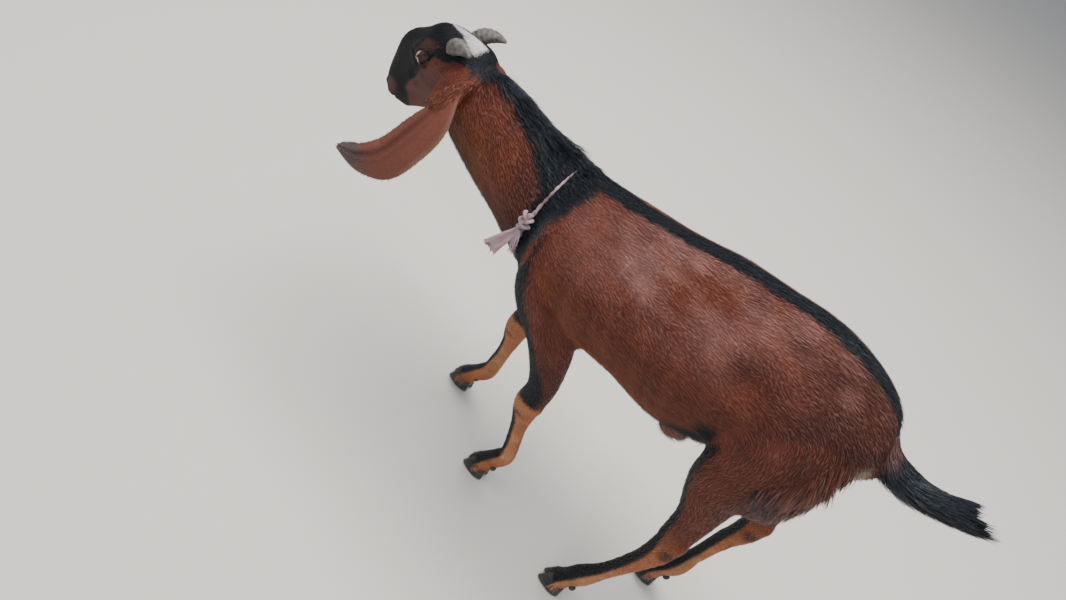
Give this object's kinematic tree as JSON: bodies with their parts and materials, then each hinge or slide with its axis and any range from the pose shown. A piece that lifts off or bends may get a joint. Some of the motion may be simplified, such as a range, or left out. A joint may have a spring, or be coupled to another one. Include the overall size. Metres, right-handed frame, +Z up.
{
  "type": "goat",
  "caption": "Life-size still model of a young long-eared male goat walking with its head low: short brown coat with black markings, short horns, twisted cloth collar.",
  "frame": {"origin": "on the floor, under the middle of the goat's bounding box", "axes": "+Z up, the goat faces -X, and its left side is -Y"},
  "size_m": [1.0702, 0.2692, 0.7163],
  "materials": {
    "hide": "skin under a short glossy coat, chestnut brown with black",
    "hair": "glossy hair, satin sheen",
    "horn": "ringed grey horn, matt",
    "hoof": "dark slate hoof horn, satin",
    "eye": "wet, glossy",
    "cloth": "worn twisted cotton cloth, matt"
  },
  "bodies": {
    "root": {"trunk": "hide", "neck": "hide", "head": "hide", "ear_left": "hide", "ear_right": "hide", "foreleg_left": "hide", "foreleg_right": "hide", "hindleg_left": "hide", "hindleg_right": "hide", "tail": "hair", "horn_left": "horn", "horn_right": "horn", "eye_left": "eye", "eye_right": "eye", "foreleg_left_claw_outer": "hoof", "foreleg_left_claw_inner": "hoof", "foreleg_left_dewclaw_outer": "hoof", "foreleg_left_dewclaw_inner": "hoof", "foreleg_right_claw_outer": "hoof", "foreleg_right_claw_inner": "hoof", "foreleg_right_dewclaw_outer": "hoof", "foreleg_right_dewclaw_inner": "hoof", "hindleg_left_claw_outer": "hoof", "hindleg_left_claw_inner": "hoof", "hindleg_left_dewclaw_outer": "hoof", "hindleg_left_dewclaw_inner": "hoof", "hindleg_right_claw_outer": "hoof", "hindleg_right_claw_inner": "hoof", "hindleg_right_dewclaw_outer": "hoof", "hindleg_right_dewclaw_inner": "hoof", "collar": "cloth", "collar_knot": "cloth", "collar_end": "cloth"}
  },
  "joints": []
}
